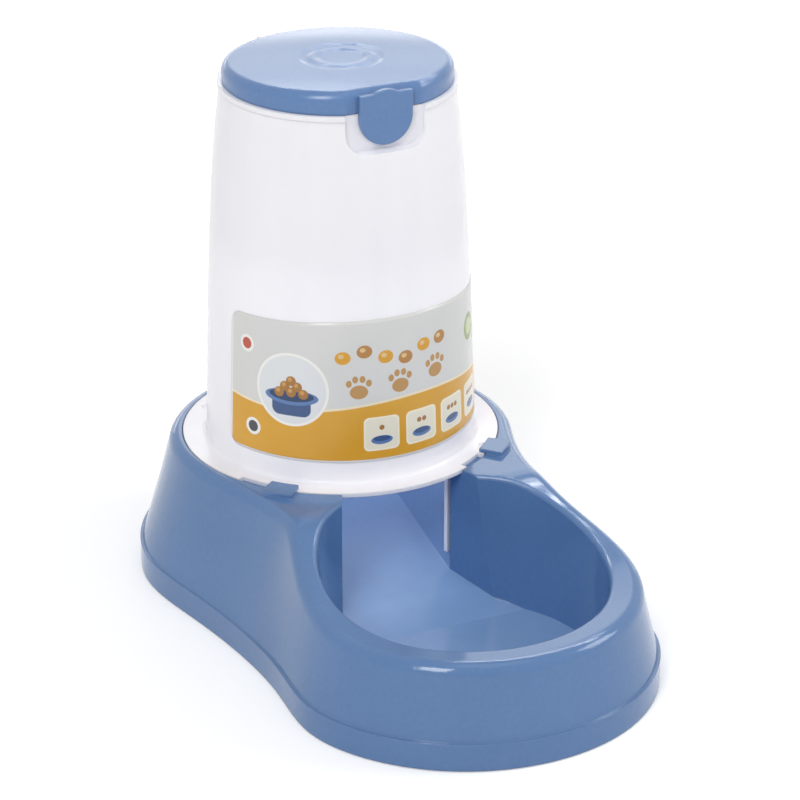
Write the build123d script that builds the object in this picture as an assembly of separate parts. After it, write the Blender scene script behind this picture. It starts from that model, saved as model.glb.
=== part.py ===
from build123d import *
import math
import os

# Gravity pet feeder: a moulded base with a bowl, a tank that locks in its collar, and a hinged lid.
# Millimetres. The origin is on the floor under the middle of the base, +Z up, the bowl toward -Y.

os.makedirs("parts", exist_ok=True)

# Base: plan sizes of the skirt band
base_length = 303.0
rear_radius = 92.0
waist_half_width = 80.1
waist_ahead_of_tank = 80.0
front_half_width = 82.8
front_half_length = 79.4

# Base: heights, walls and drafts
base_clearance = 0.6
plan_points_per_arc = 9
rear_arc_from = 70.0
lobe_arc_from = 165.0
band_height = 13.0
band_step = 1.2
band_overlap = 0.8
plateau_height = 64.6
lip_height = 45.0
slope_head_ahead_of_tank = 76.0
slope_foot_ahead_of_tank = 180.0
slope_head_drop = 2.4
base_wall = 2.2
lobe_draft = 0.215
rear_draft = 0.27
waist_draft = 0.36
top_edge_radius = 5.8

# Bowl, throat and hopper
bowl_ahead_of_tank = 127.8
bowl_floor_radius = 57.6
bowl_wall_draft = 0.1
bowl_floor_height = 4.9
bowl_rim_fillet = 2.0
throat_half_angle = 24.0
well_radius = 65.0
ramp_half_width = 26.2
ramp_angle = 13.9
ramp_height_at_throat = 13.5
funnel_side_angle = 50.0
throat_reach_share = 0.75

# Tank
tank_foot_radius = 61.0
tank_waist_radius = 58.9
tank_waist_height = 121.0
tank_shoulder_radius = 56.5
tank_shoulder_height = 176.0
tank_top_radius = 51.8
tank_top_height = 231.0
tank_wall = 1.6
flange_radius = 71.3
flange_thickness = 2.0
flange_recess_depth = 1.7
flange_side_gap = 0.5
bead_height = 2.4
bead_stand_out = 0.7
neck_height = 3.6
neck_wall = 1.5
grip_half_width = 18.5
grip_drop = 17.0
grip_corner_radius = 8.0
flange_fillet = 1.5

# Bayonet: hooks on the collar, notches, nibs and tongues on the tank
lock_angle = 12.0
front_hook_angle = 45.0
hook_half_angle = 5.2
hook_reach = 2.6
front_hook_length = 10.8
rear_hook_length = 6.6
hook_root = 1.4
hook_thickness = 1.6
hook_gap = 0.3
hook_corner_radius = 1.2
notch_margin_angle = 0.8
notch_margin_depth = 0.5
nib_radius = 1.3
nib_height = 0.7
nib_top_share = 0.6
nib_inside_hook = 2.2
nib_angles = (47.0, -134.0)
tongue_edge_angle = 36.0
tongue_width_angle = 8.0
tongue_thickness = 1.8
tongue_gap_inside = 0.9
tongue_gap_outside = 1.6
tongue_foot_height = 21.5
slot_margin_angle = 0.8

# Lid
lid_radius = 50.6
lid_wall = 1.7
lid_height = 11.4
lid_dome_radius = 420.0
dome_ahead_of_axis = 12.0
lid_seat_gap = 0.2
lid_front_flat = 47.4
lid_edge_radius = 4.5
lid_corner_radius = 4.6
neck_gap = 0.5
plug_wall = 1.2
plug_depth = 2.2
plug_gap = 0.4
plug_end_behind_axis = 20.0
dimple_ahead_of_axis = 4.0
dimple_radius = 19.8
dimple_valley_radius = 16.2
dimple_ring_radius = 12.2
dimple_dish_radius = 10.0
dimple_flat_radius = 7.0
dimple_depth = 1.3
dimple_ring_drop = 0.4
dimple_dish_drop = 1.04
tab_width = 24.6
tab_height = 23.0
tab_thickness = 2.4
tab_stand_out = 3.0
tab_below_lid_top = 3.2
tab_root = 1.3
tab_edge_radius = 0.6

# Lid hinge
hinge_behind_lid = 4.8
hinge_above_tank_top = 0.6
barrel_radius = 2.6
barrel_length = 20.0
hinge_web = 2.0
stub_radius = 1.6
stub_running_gap = 0.08
ear_thickness = 3.0
ear_radius = 3.3
ear_side_gap = 0.3
ear_drop = 13.0
stop_heel_length = 5.0
stop_heel_thickness = 1.6
stop_heel_width = 12.0
lid_open_angle = 110.0
lid_stop_gap = 0.3

# Label
label_half_angle = 77.5
label_foot_height = 74.5
label_top_height = 137.5
label_wave = 3.2
label_left_drop = 0.96
label_right_rise = 1.28
label_thickness = 0.2
label_corner_radius = 6.0

# Feet
foot_radius = 7.0
foot_height = 2.4
foot_edge_radius = 0.5
foot_seat_rim = 2.2
foot_seat_overlap = 1.0
foot_heading = 45.0

# Places worked out from the sizes above
tank_y = base_length / 2 - rear_radius
bowl_y = tank_y - bowl_ahead_of_tank
lobe_y = front_half_length - base_length / 2
waist_y = tank_y - waist_ahead_of_tank
slope_head_y = tank_y - slope_head_ahead_of_tank
slope_foot_y = tank_y - slope_foot_ahead_of_tank
recess_floor = plateau_height - flange_recess_depth
flange_top = recess_floor + flange_thickness
recess_radius = flange_radius + flange_side_gap
throat_y = tank_y - well_radius * math.cos(math.radians(throat_half_angle))
tongue_outer_radius = well_radius - tongue_gap_outside
tongue_inner_radius = tongue_outer_radius - tongue_thickness
lid_base = tank_top_height + lid_seat_gap
lid_top = lid_base + lid_height
dome_y = tank_y - dome_ahead_of_axis
dimple_y = tank_y - dimple_ahead_of_axis
hinge_y = tank_y + lid_radius + hinge_behind_lid
hinge_z = tank_top_height + hinge_above_tank_top
above_all = lid_top + 40.0
far_side = base_length
room_top = plateau_height + 30.0


def polar(radius, turn, z=0.0):
    """A point round the tank's axis; turn is counted from straight ahead, positive toward +X."""
    a = math.radians(turn - 90)
    return Vector(radius * math.cos(a), tank_y + radius * math.sin(a), z)


def plan_of_base(height, inset=0.0):
    """The closed plan of the body wall at a height, drawn in by an inset."""
    up = height - band_height
    rear = rear_radius - rear_draft * up - inset
    waist = waist_half_width - waist_draft * up - inset
    half_width = front_half_width - lobe_draft * up - inset
    half_length = front_half_length - lobe_draft * up - inset
    rear_step = (360 - 2 * rear_arc_from) / (plan_points_per_arc - 1)
    lobe_step = (540 - 2 * lobe_arc_from) / (plan_points_per_arc - 1)
    points = [polar(rear, rear_arc_from + rear_step * i, height) for i in range(plan_points_per_arc)]
    points.append(Vector(-waist, waist_y, height))
    for i in range(plan_points_per_arc):
        a = math.radians(lobe_arc_from + lobe_step * i)
        points.append(Vector(half_width * math.cos(a), lobe_y + half_length * math.sin(a), height))
    points.append(Vector(waist, waist_y, height))
    return Wire([Edge.make_spline(points, periodic=True)])


def slope_height(y):
    """Height of the sweeping top between the plateau and the front lip."""
    rise = (y - slope_foot_y) / (slope_head_y - slope_foot_y)
    return lip_height + (plateau_height + slope_head_drop - lip_height) * rise**2


def space_above_base(drop):
    """Everything above the base's top surface, lowered by a drop."""
    reach = slope_foot_y - slope_head_y
    stations = [slope_head_y + reach * i / 6 for i in range(1, 6)]
    sweep = [(slope_head_y, plateau_height)]
    sweep += [(y, slope_height(y)) for y in stations]
    sweep.append((slope_foot_y, lip_height))
    lowered = [(y, z - drop) for y, z in sweep]
    with BuildSketch(Plane.YZ) as section:
        with BuildLine():
            Line((far_side, plateau_height - drop), lowered[0])
            Spline(*lowered, tangents=[(-1, 0), (-1, 0)])
            Line(lowered[-1], (-far_side, lip_height - drop))
            Polyline((-far_side, lip_height - drop), (-far_side, above_all),
                     (far_side, above_all), (far_side, plateau_height - drop))
        make_face()
    return extrude(section.sketch, far_side, both=True).solid()


def rounded_body(foot, skin):
    """The drafted body under its sweeping top, all sides drawn in by a skin, with its top edge rounded."""
    wall = Solid.make_loft([
        plan_of_base(foot, band_step + skin),
        plan_of_base(plateau_height + top_edge_radius, band_step + skin),
    ])
    body = (wall - space_above_base(skin)).solid()
    rim = []
    for edge in body.edges():
        box = edge.bounding_box()
        runs_across = box.size.Y < 0.001
        if box.min.Z > lip_height - skin - 1 and not runs_across:
            rim.append(edge)
    return body.fillet(top_edge_radius - skin, rim)


def band(foot, top, inset):
    """The upright skirt band between two heights."""
    outline = plan_of_base(band_height, inset).moved(Location((0, 0, foot - band_height)))
    return Solid.extrude(Face(outline), Vector(0, 0, top - foot))


def upright_cylinder(radius, y, foot, top):
    return Solid.make_cylinder(radius, top - foot, Plane((0, y, foot)))


def ring_block(inner, outer, foot, top, turn_from, turn_to):
    """A curved block round the tank's axis between two turns."""
    plane = Plane(origin=(0, tank_y, 0), x_dir=polar(1, turn_from) - polar(0, 0),
                  z_dir=polar(1, turn_from - 90) - polar(0, 0))
    face = plane * Pos((inner + outer) / 2, (foot + top) / 2) * Rectangle(outer - inner, top - foot)
    axis = Axis((0, tank_y, 0), (0, 0, 1))
    return revolve(face, axis, turn_to - turn_from).solid()


def space_above_floor(skin):
    """Everything above the bowl floor and the ramp that climbs from it."""
    climb = math.tan(math.radians(ramp_angle))
    floor = bowl_floor_height - skin
    at_throat = ramp_height_at_throat - skin
    foot_y = throat_y - (ramp_height_at_throat - bowl_floor_height) / climb
    rear_y = tank_y + well_radius + skin + 1
    outline = [(-far_side, floor), (foot_y, floor), (rear_y, at_throat + climb * (rear_y - throat_y)),
               (rear_y, above_all), (-far_side, above_all)]
    section = Plane.YZ * make_face(Polyline(*outline, close=True))
    return extrude(section, far_side, both=True).solid()


def bowl_space(skin):
    """The tapered round bowl, reaching up through the rim."""
    def radius(z):
        return bowl_floor_radius + bowl_wall_draft * (z - bowl_floor_height) + skin
    return Solid.make_cone(radius(0), radius(room_top), room_top, Plane((0, bowl_y, 0)))


def throat_space(skin):
    """The wedge between two walls that fan out from the tank's axis to the bowl."""
    fan = math.radians(throat_half_angle)
    reach = bowl_ahead_of_tank * throat_reach_share
    side = Vector(math.cos(fan), math.sin(fan)) * skin
    far_right = polar(reach, throat_half_angle) + side
    far_left = Vector(-far_right.X, far_right.Y)
    apex = Vector(0, tank_y + skin / math.sin(fan))
    section = make_face(Polyline(apex, far_left, far_right, close=True))
    return extrude(section, room_top).solid()


def hopper_space(skin):
    """The round well under the tank, floored by the ramp between two funnel sides."""
    a = math.radians(ramp_angle)
    side = math.radians(funnel_side_angle)
    along = Vector(0, math.cos(a), math.sin(a))
    start_y = throat_y - 2 * well_radius
    start_z = ramp_height_at_throat - skin + (start_y - throat_y) * math.tan(a)
    half = ramp_half_width + skin * math.tan(side / 2)
    out = half + well_radius
    up = well_radius * math.tan(side)
    outline = [(-half, start_z), (half, start_z), (out, start_z + up), (out, start_z + 3 * up),
               (-out, start_z + 3 * up), (-out, start_z + up)]
    plane = Plane(origin=(0, start_y, 0), x_dir=(1, 0, 0), z_dir=(0, -1, 0))
    section = plane * make_face(Polyline(*outline, close=True))
    trough = extrude(section, 5 * well_radius, dir=along).solid()
    well = upright_cylinder(well_radius + skin, tank_y, 0, room_top)
    return (well & trough).solid()


def tongue_turns():
    """Where each tongue starts and ends at rest, counted round from straight ahead."""
    near = tongue_edge_angle
    far = tongue_edge_angle + tongue_width_angle
    return [(near - lock_angle, far - lock_angle), (-far - lock_angle, -near - lock_angle)]


def tongue_slots(skin):
    """The curved slots that the tank's tongues hang and turn in."""
    margin = slot_margin_angle + math.degrees(skin / well_radius)
    slots = []
    for turn_from, turn_to in tongue_turns():
        slots.append(ring_block(
            tongue_inner_radius - tongue_gap_inside - skin, well_radius + skin,
            tongue_foot_height - tongue_gap_inside - skin, room_top,
            turn_from - margin, turn_to + lock_angle + margin,
        ))
    return slots


def food_space(skin):
    """All the room that food passes through, grown by a skin."""
    front = (bowl_space(skin) + throat_space(skin)).solid()
    front = (front & space_above_floor(skin)).solid()
    space = front + hopper_space(skin)
    for slot in tongue_slots(skin):
        space = space + slot
    return space.solid()


def flange_recess(skin):
    return upright_cylinder(recess_radius + skin, tank_y, recess_floor - skin, room_top)


def hook(turn, length):
    """A lug that stands on the collar and reaches in over the flange."""
    inner = flange_radius - hook_reach
    under = flange_top + hook_gap
    top = under + hook_thickness
    turn_from = turn - hook_half_angle
    turn_to = turn + hook_half_angle
    pad = ring_block(recess_radius, inner + length, recess_floor - hook_root, top, turn_from, turn_to)
    lip = ring_block(inner, recess_radius + 1, under, top, turn_from, turn_to)
    lug = (pad + lip).solid()
    outer_corners = []
    for edge in lug.edges().filter_by(Axis.Z):
        middle = edge.center()
        reach = math.hypot(middle.X, middle.Y - tank_y)
        if reach > inner + length - 0.5:
            outer_corners.append(edge)
    return lug.fillet(hook_corner_radius, outer_corners)


def foot_places():
    """Centres of the four feet, each set in from the skirt band."""
    inset = base_wall + foot_seat_rim + foot_radius - foot_seat_overlap
    a = math.radians(foot_heading)
    rear = polar(rear_radius - inset, 180 - foot_heading)
    front_x = (front_half_width - inset) * math.cos(a)
    front_y = lobe_y - (front_half_length - inset) * math.sin(a)
    return {
        "foot_front_left": (-front_x, front_y),
        "foot_front_right": (front_x, front_y),
        "foot_rear_left": (-rear.X, rear.Y),
        "foot_rear_right": (rear.X, rear.Y),
    }


def foot_seat(x, y):
    """A disc under the body with a pocket for one foot."""
    top = foot_height + base_wall
    disc = Solid.make_cylinder(foot_radius + foot_seat_rim, top - base_clearance,
                               Plane((x, y, base_clearance)))
    pocket = Solid.make_cylinder(foot_radius, foot_height, Plane((x, y, 0)))
    return (disc - pocket).solid()


def bowl_rim_edges(shell):
    """The inner rim of the bowl, where its wall meets the sweeping top."""
    edges = []
    for edge in shell.edges():
        middle = edge.position_at(0.5)
        ends = [edge.position_at(0), edge.position_at(1)]
        reach = math.hypot(middle.X, middle.Y - bowl_y)
        over_floor = min(middle.Z, ends[0].Z, ends[1].Z) > lip_height - 1
        near_wall = abs(reach - bowl_floor_radius - bowl_wall_draft * (middle.Z - bowl_floor_height)) < 0.1
        leans = abs(ends[0].Y - ends[1].Y) > 5 or edge.is_closed
        if over_floor and near_wall and (leans or middle.Y < bowl_y):
            edges.append(edge)
    return edges


def make_base():
    body = rounded_body(band_height - band_overlap, 0)
    outer = (band(base_clearance, band_height, 0) + body).solid()
    shell = (outer - food_space(0)).solid()
    shell = shell.fillet(bowl_rim_fillet, bowl_rim_edges(shell))
    hollow_foot = band(-1, band_height - base_wall, base_wall)
    hollow = hollow_foot + rounded_body(band_height - base_wall - band_overlap, base_wall)
    hollow = hollow - food_space(base_wall)
    hollow = hollow - flange_recess(base_wall)
    shell = shell - flange_recess(0) - hollow
    for turn in (-front_hook_angle, front_hook_angle):
        shell = shell + hook(turn, front_hook_length)
    shell = shell + hook(180, rear_hook_length)
    for x, y in foot_places().values():
        shell = shell + foot_seat(x, y)
    return shell.solid()


def tank_side(inset):
    """Radius and height of the stations up the tank's tapering side, drawn in by an inset."""
    return [
        (tank_foot_radius - inset, flange_top),
        (tank_waist_radius - inset, tank_waist_height),
        (tank_shoulder_radius - inset, tank_shoulder_height),
        (tank_top_radius - inset, tank_top_height - bead_height),
    ]


def turned(outline_maker):
    """Turn a half section about the tank's axis."""
    with BuildSketch(Plane((0, tank_y, 0), x_dir=(1, 0, 0), z_dir=(0, -1, 0))) as section:
        with BuildLine():
            outline_maker()
        make_face()
    return revolve(section.sketch, Axis((0, tank_y, 0), (0, 0, 1))).solid()


def tank_bulk(inset, foot, top):
    """The tapering round bulk of the tank, drawn in by an inset."""
    side = tank_side(inset)

    def outline():
        Polyline((0, tank_top_height), (0, foot), (side[0][0], foot), side[0])
        Spline(*side)
        Polyline(side[-1], (side[-1][0], tank_top_height), (0, tank_top_height))

    bulk = turned(outline)
    if top < tank_top_height:
        bulk = (bulk & upright_cylinder(flange_radius, tank_y, foot, top)).solid()
    return bulk


def tank_outer():
    """The tank's outer form with its flange below and the bead round its top."""
    side = tank_side(0)
    bead_foot = side[-1][1]
    bead_radius = tank_top_radius + bead_stand_out

    def outline():
        Polyline((0, recess_floor), (flange_radius, recess_floor), (flange_radius, flange_top), side[0])
        Spline(*side)
        Polyline(side[-1], (bead_radius, bead_foot), (bead_radius, tank_top_height), (0, tank_top_height),
                 (0, recess_floor))

    body = turned(outline)
    root = []
    for edge in body.edges().filter_by(GeomType.CIRCLE):
        if abs(edge.radius - tank_foot_radius) < 0.01:
            root.append(edge)
    return body.fillet(flange_fillet, root)


def lid_block(inset, foot, top, corner_radius):
    """An upright block with the lid's plan, a circle with a flat front, drawn in by an inset."""
    front = tank_y - lid_front_flat + inset
    slab = Pos(0, front + far_side / 2, (foot + top) / 2) * Box(far_side, far_side, top - foot)
    block = (upright_cylinder(lid_radius - inset, tank_y, foot, top) & slab).solid()
    corners = [e for e in block.edges().filter_by(Axis.Z) if abs(e.center().Y - front) < 0.01]
    return block.fillet(corner_radius, corners)


def lid_cap(inset, foot):
    """The lid's outer form or its room: a block under the shallow dome with the top edge rounded."""
    block = lid_block(inset, foot, lid_top, lid_corner_radius - inset)
    dome = Solid.make_sphere(lid_dome_radius - inset, Plane((0, dome_y, lid_top - lid_dome_radius)),
                             angle1=0, angle2=90)
    block = (block & dome).solid()
    return block.fillet(lid_edge_radius - inset, block.faces().sort_by(Axis.Z)[-1].edges())


def grip_space(skin):
    """The finger recess under the lid's tab, grown by a skin."""
    half = grip_half_width + skin
    foot = tank_top_height - grip_drop - skin
    top = tank_top_height + skin
    back = tank_y - lid_front_flat + skin
    box = Box(2 * half, tank_foot_radius, top - foot)
    block = (Pos(0, back - tank_foot_radius / 2, (foot + top) / 2) * box).solid()
    lower = block.edges().filter_by(Axis.Y).sort_by(Axis.Z)[:2]
    return block.fillet(grip_corner_radius + skin, lower)


def hinge_rod(radius, x_from, x_to):
    return Solid.make_cylinder(radius, x_to - x_from,
                               Plane(origin=(x_from, hinge_y, hinge_z), z_dir=(1, 0, 0)))


def hinge_ear(side):
    """An ear that reaches out of the tank's rear wall, bored for the lid's stub."""
    start = barrel_length / 2 + ear_side_gap
    if side < 0:
        start = -start - ear_thickness
    wall_y = tank_y + math.sqrt((tank_top_radius - tank_wall / 2)**2 - (barrel_length / 2)**2)
    outline = [
        (wall_y, tank_top_height - 0.5),
        (hinge_y - ear_radius, hinge_z),
        (hinge_y + ear_radius, hinge_z),
        (wall_y + tank_wall / 2, hinge_z - ear_drop),
    ]
    plane = Plane(origin=(start, 0, 0), x_dir=(0, 1, 0), z_dir=(1, 0, 0))
    arm = extrude(plane * make_face(Polyline(*outline, close=True)), ear_thickness).solid()
    ear = arm + hinge_rod(ear_radius, start, start + ear_thickness)
    bore = hinge_rod(stub_radius + stub_running_gap, start - 1, start + ear_thickness + 1)
    return (ear - bore).solid()


def stop_heel():
    """A rib on the lid's barrel that meets the tank's bead when the lid is open."""
    in_from_hinge = hinge_y - tank_y - tank_top_radius - bead_stand_out
    below_hinge = hinge_z - tank_top_height + bead_height
    reach = math.hypot(in_from_hinge, below_hinge)
    meets = math.atan2(-below_hinge, -in_from_hinge)
    meets = meets + math.asin((stop_heel_thickness / 2 + lid_stop_gap) / reach)
    rest = meets + math.radians(lid_open_angle)
    plane = Plane(origin=(0, hinge_y, hinge_z), x_dir=(1, 0, 0),
                  z_dir=(0, -math.sin(rest), math.cos(rest)))
    rib = Box(stop_heel_width, stop_heel_length, stop_heel_thickness)
    return plane * Pos(0, stop_heel_length / 2, 0) * rib


def notch(turn):
    """The gap in the flange that lets one hook through."""
    half = hook_half_angle + notch_margin_angle
    inner = flange_radius - hook_reach - notch_margin_depth
    return ring_block(inner, flange_radius + 5, recess_floor - 1, flange_top + 1, turn - half, turn + half)


def make_tank():
    body = tank_outer() - grip_space(0)
    room = tank_bulk(tank_wall, recess_floor - 1, tank_top_height - tank_wall)
    room = room - grip_space(tank_wall)
    body = body - room
    neck_inset = lid_wall + neck_gap
    neck_foot = tank_top_height - tank_wall / 2
    neck_top = tank_top_height + neck_height
    neck = lid_block(neck_inset, neck_foot, neck_top, lid_corner_radius - neck_inset)
    mouth_inset = neck_inset + neck_wall
    mouth = lid_block(mouth_inset, tank_top_height - 2 * tank_wall, neck_top + 1,
                      lid_corner_radius - mouth_inset)
    body = (body + neck) - mouth
    for side in (-1, 1):
        body = body + hinge_ear(side)
    for turn in (-front_hook_angle, front_hook_angle, 180):
        body = body - notch(turn - lock_angle)
    nib_reach = flange_radius - hook_reach - nib_inside_hook
    for turn in nib_angles:
        seat = Plane(polar(nib_reach, turn, flange_top))
        nib = Solid.make_cone(nib_radius, nib_radius * nib_top_share, nib_height, seat)
        body = body + nib
    for turn_from, turn_to in tongue_turns():
        tongue = ring_block(tongue_inner_radius, tongue_outer_radius, tongue_foot_height,
                            recess_floor + flange_thickness / 2, turn_from, turn_to)
        body = body + tongue
    return body.solid()


def dimple_cut():
    """The dished mark on top of the lid: an outer dish, a raised ring and an inner dish."""
    profile = [
        (dimple_radius, -dimple_radius**2 / (2 * lid_dome_radius)),
        (dimple_valley_radius, -dimple_depth),
        (dimple_ring_radius, -dimple_ring_drop),
        (dimple_dish_radius, -dimple_dish_drop),
        (dimple_flat_radius, -dimple_depth),
    ]
    with BuildSketch(Plane.XZ) as section:
        with BuildLine():
            Spline(*profile, tangents=[(-1, 0), (-1, 0)])
            Polyline(profile[-1], (0, -dimple_depth), (0, 1), (dimple_radius, 1), profile[0])
        make_face()
    cut = revolve(section.sketch, Axis.Z).solid()
    from_crown = dimple_y - dome_y
    sag = from_crown**2 / (2 * lid_dome_radius)
    tilt = -math.degrees(from_crown / lid_dome_radius)
    return Location((0, dimple_y, lid_top - sag), (tilt, 0, 0)) * cut


def make_lid():
    shell = lid_cap(0, lid_base)
    room = lid_cap(lid_wall, lid_base - 1)
    boss = upright_cylinder(dimple_radius, dimple_y, lid_top - lid_wall - dimple_depth, lid_top)
    lid = shell - (room - boss) - dimple_cut()
    plug_inset = lid_wall + neck_gap + neck_wall + plug_gap
    plug_foot = tank_top_height + neck_height - plug_depth
    plug = lid_block(plug_inset, plug_foot, lid_top, 2 * plug_wall)
    plug = plug - lid_block(plug_inset + plug_wall, plug_foot - 1, lid_top + 1, plug_wall)
    cut_y = tank_y + plug_end_behind_axis + far_side / 2
    behind = Pos(0, cut_y, lid_base) * Box(far_side, far_side, above_all)
    lid = lid + ((plug - behind) & shell)
    front = tank_y - lid_front_flat - tab_stand_out
    tab_top = lid_top - tab_below_lid_top
    tab_foot = tab_top - tab_height
    half = tab_width / 2
    upper = Box(tab_width, tab_thickness, tab_height - half)
    tab = Pos(0, front + tab_thickness / 2, tab_top - (tab_height - half) / 2) * upper
    round_plane = Plane(origin=(0, front, tab_foot + half), z_dir=(0, 1, 0))
    tab = (tab + Solid.make_cylinder(half, tab_thickness, round_plane)).solid()
    face = tab.faces().sort_by(Axis.Y)[0]
    tab = tab.fillet(tab_edge_radius, face.edges())
    depth = tab_stand_out + tab_root
    root_width = tab_width - 2 * tab_edge_radius
    root = Box(root_width, depth - tab_thickness / 2, tab_top - tab_edge_radius - lid_base)
    root_y = front + tab_thickness / 2 + (depth - tab_thickness / 2) / 2
    lid = lid + tab + Pos(0, root_y, (tab_top - tab_edge_radius + lid_base) / 2) * root
    lid = lid + hinge_rod(barrel_radius, -barrel_length / 2, barrel_length / 2)
    stub_end = barrel_length / 2 + ear_side_gap + ear_thickness
    lid = lid + hinge_rod(stub_radius, -stub_end, stub_end)
    web_length = hinge_behind_lid + lid_wall
    web = Box(barrel_length, web_length, hinge_web)
    web = Pos(0, hinge_y - web_length / 2, hinge_z + hinge_web / 4) * web
    web = web - lid_block(lid_wall / 2, lid_base - 5, lid_top, lid_corner_radius)
    return (lid + web + stop_heel()).solid()


def make_label():
    """A thin printed sheet wrapped on the tank, its top edge a shallow wave."""
    sheet = tank_bulk(-label_thickness, recess_floor, tank_top_height)
    sheet = sheet - tank_bulk(0, recess_floor - 1, tank_top_height)
    wedge = ring_block(tank_shoulder_radius / 2, flange_radius, label_foot_height,
                       label_top_height + label_wave, -label_half_angle, label_half_angle)
    sheet = (sheet & wedge).solid()
    half = tank_foot_radius + 1
    wave = [(-half, label_top_height), (-half / 2, label_top_height - label_left_drop),
            (0, label_top_height + label_wave), (half / 2, label_top_height + label_right_rise),
            (half, label_top_height)]
    with BuildSketch(Plane.XZ) as section:
        with BuildLine():
            Spline(*wave)
            Polyline(wave[-1], (half, label_foot_height - 1), (-half, label_foot_height - 1), wave[0])
        make_face()
    window = extrude(section.sketch, far_side, both=True).solid()
    sheet = sheet & window
    end = tank_y - (tank_waist_radius + tank_foot_radius) / 2 * math.cos(math.radians(label_half_angle))
    inner = end - label_corner_radius
    low = label_foot_height + label_corner_radius
    high = label_top_height - label_corner_radius
    with BuildSketch(Plane.YZ) as section:
        with BuildLine():
            Polyline((inner, label_top_height), (inner, above_all), (-far_side, above_all), (-far_side, 0),
                     (inner, 0), (inner, label_foot_height))
            CenterArc((inner, low), label_corner_radius, -90, 90)
            Line((end, low), (end, high))
            CenterArc((inner, high), label_corner_radius, 0, 90)
        make_face()
    return (sheet & extrude(section.sketch, far_side, both=True)).solid()


def make_foot(x, y):
    foot = Solid.make_cylinder(foot_radius, foot_height, Plane((x, y, 0)))
    lower = foot.edges().filter_by(GeomType.CIRCLE).sort_by(Axis.Z)[:1]
    return foot.fillet(foot_edge_radius, lower)


nodes = {
    "base_shell": make_base(),
    "tank": make_tank(),
    "lid": make_lid(),
    "label": make_label(),
}
for foot_name, (foot_x, foot_y) in foot_places().items():
    nodes[foot_name] = make_foot(foot_x, foot_y)

for name, solid in nodes.items():
    export_step(solid, f"parts/{name}.step")
    print(name, solid.is_valid, len(solid.solids()), round(solid.volume))
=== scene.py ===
# %% [markdown]
# # A gravity pet feeder
# The real feeder is three injection-moulded pieces: a blue base with a bowl, a milky tank that
# locks into the base, and a blue lid hinged behind the tank. A printed film goes round the tank
# and four rubber pads sit under the base. The measured solids come in first, as a fixed frame.
# The later cells light them, give the moulded pieces their finishes, and make the film and the
# pads anew in finer detail.

# %% Load the measured solids
import bpy
import math
from mathutils import Matrix, Vector


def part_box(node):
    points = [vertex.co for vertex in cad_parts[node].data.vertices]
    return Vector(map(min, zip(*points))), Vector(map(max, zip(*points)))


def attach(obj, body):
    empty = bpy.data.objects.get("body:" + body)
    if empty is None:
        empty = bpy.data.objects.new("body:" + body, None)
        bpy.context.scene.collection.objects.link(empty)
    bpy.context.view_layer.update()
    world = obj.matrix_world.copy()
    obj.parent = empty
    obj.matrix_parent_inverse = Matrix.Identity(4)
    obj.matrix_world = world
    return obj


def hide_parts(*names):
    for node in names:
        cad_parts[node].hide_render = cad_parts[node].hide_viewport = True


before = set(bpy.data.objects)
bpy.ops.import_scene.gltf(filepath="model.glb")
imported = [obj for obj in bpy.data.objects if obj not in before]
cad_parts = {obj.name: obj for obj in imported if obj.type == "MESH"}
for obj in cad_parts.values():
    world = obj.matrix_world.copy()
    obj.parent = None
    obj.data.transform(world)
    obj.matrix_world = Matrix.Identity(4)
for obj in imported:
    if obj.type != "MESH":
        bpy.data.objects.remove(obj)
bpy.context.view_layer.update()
# Blender works in metres. Lengths below are in millimetres wherever they are multiplied by MM.
MM = 0.001
print("solids loaded:", sorted(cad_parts))

# %% [markdown]
# ## The camera
# A product photo is taken with a long lens, so that upright sides stay nearly parallel. The
# camera here stands a metre and a half away, a little to the left of the bowl and well above it.
# Its three axes are worked out from two angles, which is easier to adjust than a rotation in
# degrees about each world axis.

# %% Find where the camera stands
# Lengths are in millimetres up to the last step, which turns them into metres.
turn = math.radians(-25.32)
tilt = math.radians(24.21)
distance = 1483.3
feeder_middle = Vector((0, -0.5, 90))
aim_right = 1.35
aim_up = 10.82
to_right = Vector((math.cos(turn), math.sin(turn), 0))
to_camera = Vector((math.sin(turn) * math.cos(tilt), -math.cos(turn) * math.cos(tilt), math.sin(tilt)))
to_top = to_camera.cross(to_right)
aim = feeder_middle + to_right * aim_right + to_top * aim_up
stand = (aim + to_camera * distance) * MM
print("camera stands at", [round(v, 3) for v in stand])

# %% Stand the camera there with a long lens
lens = bpy.data.cameras.new("studio_camera")
lens.lens = 153
lens.sensor_width = 36
lens.clip_start = 0.05
lens.clip_end = 60
camera = bpy.data.objects.new("studio_camera", lens)
axes = Matrix((to_right, to_top, to_camera)).transposed().to_4x4()
camera.matrix_world = Matrix.Translation(stand) @ axes
bpy.context.collection.objects.link(camera)
bpy.context.scene.camera = camera
print("the lens sees", round(math.degrees(lens.angle), 1), "degrees")

# %% [markdown]
# ## Three small helpers
# Colours are easiest to read as the hex codes of a paint chart, but shaders add light in linear
# steps, so one function turns a code into linear numbers. The second adds a node to a tree, sets
# it and links it, which keeps each finish below short enough to read as a recipe. The third
# starts a finish, with the places in the object's own metres that its patterns are laid on.

# %% Helpers for colours, nodes and finishes
def paint(code):
    """The linear colour of an sRGB hex code, by the standard sRGB curve."""
    shades = []
    for start in (0, 2, 4):
        level = int(code[start:start + 2], 16) / 255
        shades.append(level / 12.92 if level <= 0.04045 else ((level + 0.055) / 1.055) ** 2.4)
    return (*shades, 1.0)


def add(tree, kind, inputs=(), **settings):
    """Add one node to a tree, with its settings, and set or link its inputs."""
    made = tree.nodes.new(kind)
    for name, value in settings.items():
        setattr(made, name, value)
    for key, value in dict(inputs).items():
        if isinstance(value, bpy.types.NodeSocket):
            tree.links.new(value, made.inputs[key])
        else:
            made.inputs[key].default_value = value
    return made


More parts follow.
